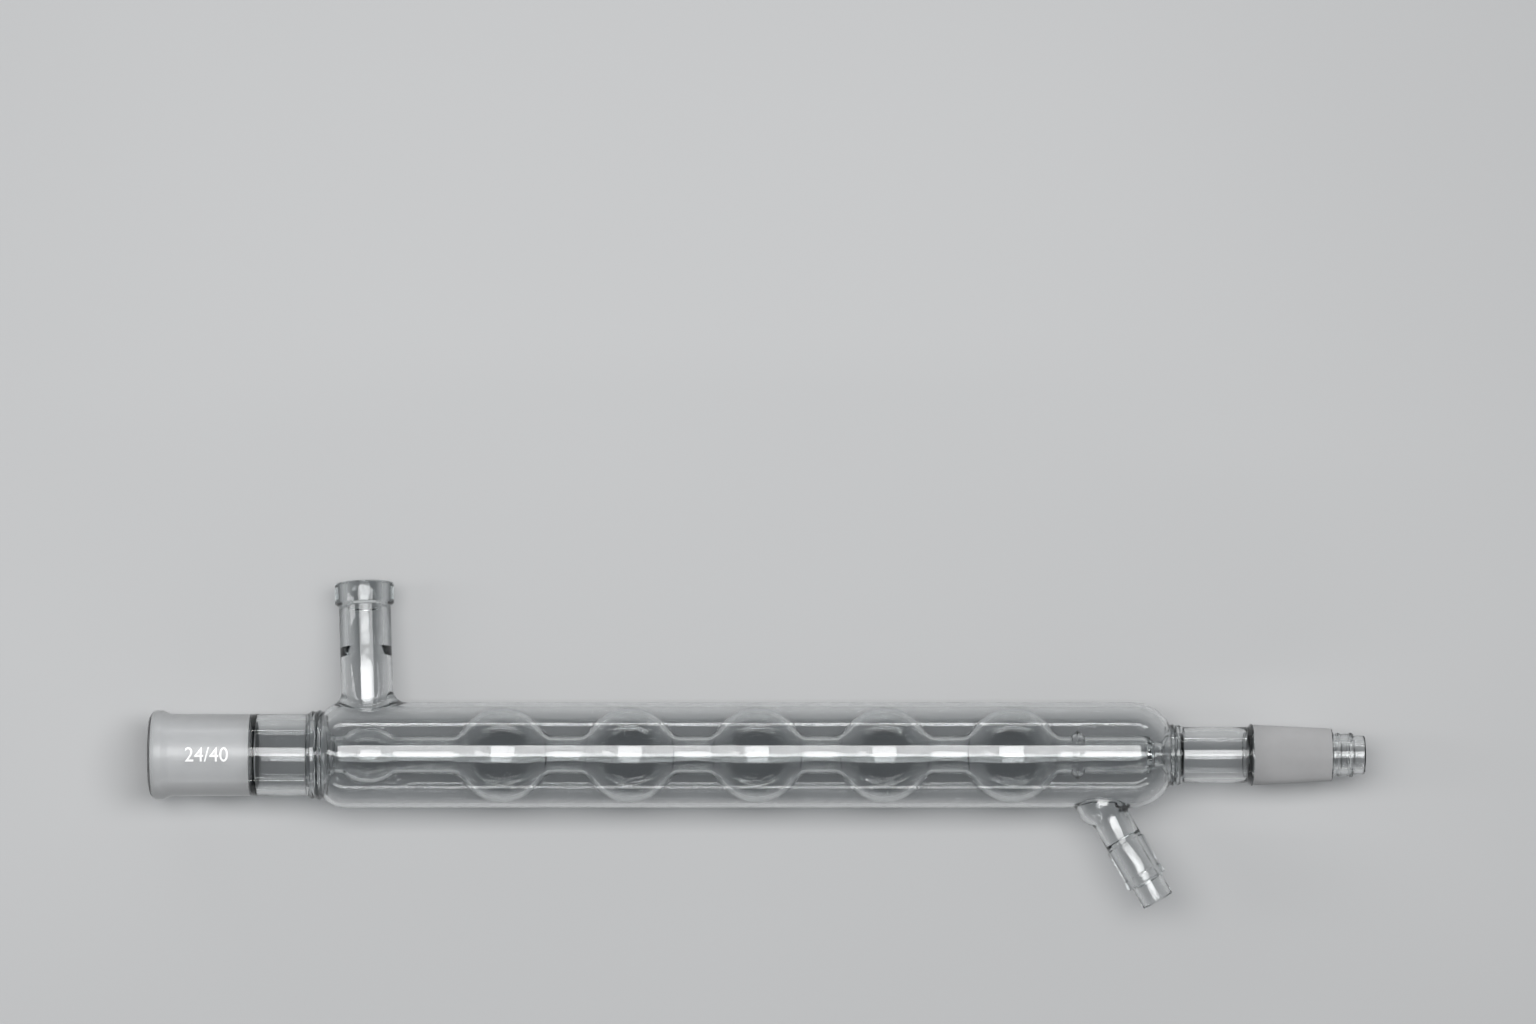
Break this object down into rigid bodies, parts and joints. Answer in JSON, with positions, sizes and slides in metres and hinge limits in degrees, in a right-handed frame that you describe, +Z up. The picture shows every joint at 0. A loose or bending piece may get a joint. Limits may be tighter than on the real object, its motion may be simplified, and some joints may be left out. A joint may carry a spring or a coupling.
{
  "type": "glass reflux condenser",
  "caption": "Glass reflux condenser with a row of bulbs in its water jacket, a ground socket, a ground cone with drip tip, a side port and a slanting hose connector.",
  "frame": {"origin": "on the condenser's axis, in the plane of the ground socket's mouth", "axes": "+X along the axis from the ground socket to the drip tip; +Z up as the condenser lies on a bench; +Y towards the side port"},
  "size_m": [0.4819, 0.1302, 0.042],
  "materials": {
    "glass": "clear borosilicate glass, with both joints ground matt white"
  },
  "bodies": {
    "root": {"condenser_glass": "glass"}
  },
  "joints": []
}
